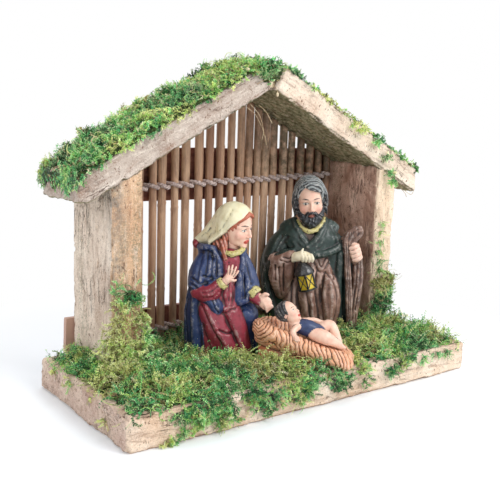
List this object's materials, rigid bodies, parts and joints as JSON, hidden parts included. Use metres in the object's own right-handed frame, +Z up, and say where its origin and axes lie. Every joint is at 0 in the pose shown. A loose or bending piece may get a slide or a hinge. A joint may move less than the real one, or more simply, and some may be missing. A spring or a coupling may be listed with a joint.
{
  "type": "nativity stable",
  "caption": "Small softboard stable with a reed fence at the back, moss on roof and ground, and glued painted castings of a kneeling figure, a standing figure and a crib.",
  "frame": {"origin": "middle of the base board's underside, on the surface that it stands on", "axes": "+Z up, +X to the right along the width, -Y toward the open front"},
  "size_m": [0.1661, 0.0738, 0.1281],
  "materials": {
    "softboard": "rough, unfinished fibre board",
    "rail_wood": "stained thin slat",
    "reed": "dry reed, satin",
    "twine": "twisted plant fibre",
    "brad_steel": "bright wire",
    "hot_glue": "cloudy",
    "moss": "dried preserved moss",
    "painted_resin_blue": "hand painted casting, satin varnish",
    "painted_resin_brown": "hand painted casting, satin varnish",
    "painted_resin_straw": "hand painted casting, satin varnish"
  },
  "bodies": {
    "root": {"base_board": "softboard", "left_wall": "softboard", "right_wall": "softboard", "left_roof_board": "softboard", "right_roof_board": "softboard", "upper_rail": "rail_wood", "lower_rail": "rail_wood", "reed_01": "reed", "reed_02": "reed", "reed_03": "reed", "reed_04": "reed", "reed_05": "reed", "reed_06": "reed", "reed_07": "reed", "reed_08": "reed", "reed_09": "reed", "reed_10": "reed", "reed_11": "reed", "reed_12": "reed", "reed_13": "reed", "reed_14": "reed", "reed_15": "reed", "reed_16": "reed", "reed_17": "reed", "reed_18": "reed", "reed_19": "reed", "reed_20": "reed", "reed_21": "reed", "reed_22": "reed", "upper_twine_a": "twine", "upper_twine_b": "twine", "lower_twine_a": "twine", "lower_twine_b": "twine", "base_brad_1": "brad_steel", "base_brad_2": "brad_steel", "base_brad_3": "brad_steel", "base_brad_4": "brad_steel", "roof_brad_1": "brad_steel", "roof_brad_2": "brad_steel", "roof_brad_3": "brad_steel", "roof_brad_4": "brad_steel", "rail_brad_1": "brad_steel", "rail_brad_2": "brad_steel", "rail_brad_3": "brad_steel", "rail_brad_4": "brad_steel", "ridge_glue": "hot_glue", "ridge_moss": "moss", "left_roof_moss": "moss", "right_roof_moss": "moss", "ground_moss": "moss", "front_rim_moss": "moss", "left_wall_moss": "moss", "right_wall_moss": "moss", "kneeling_figure": "painted_resin_blue", "standing_figure": "painted_resin_brown", "crib_with_infant": "painted_resin_straw"}
  },
  "joints": []
}
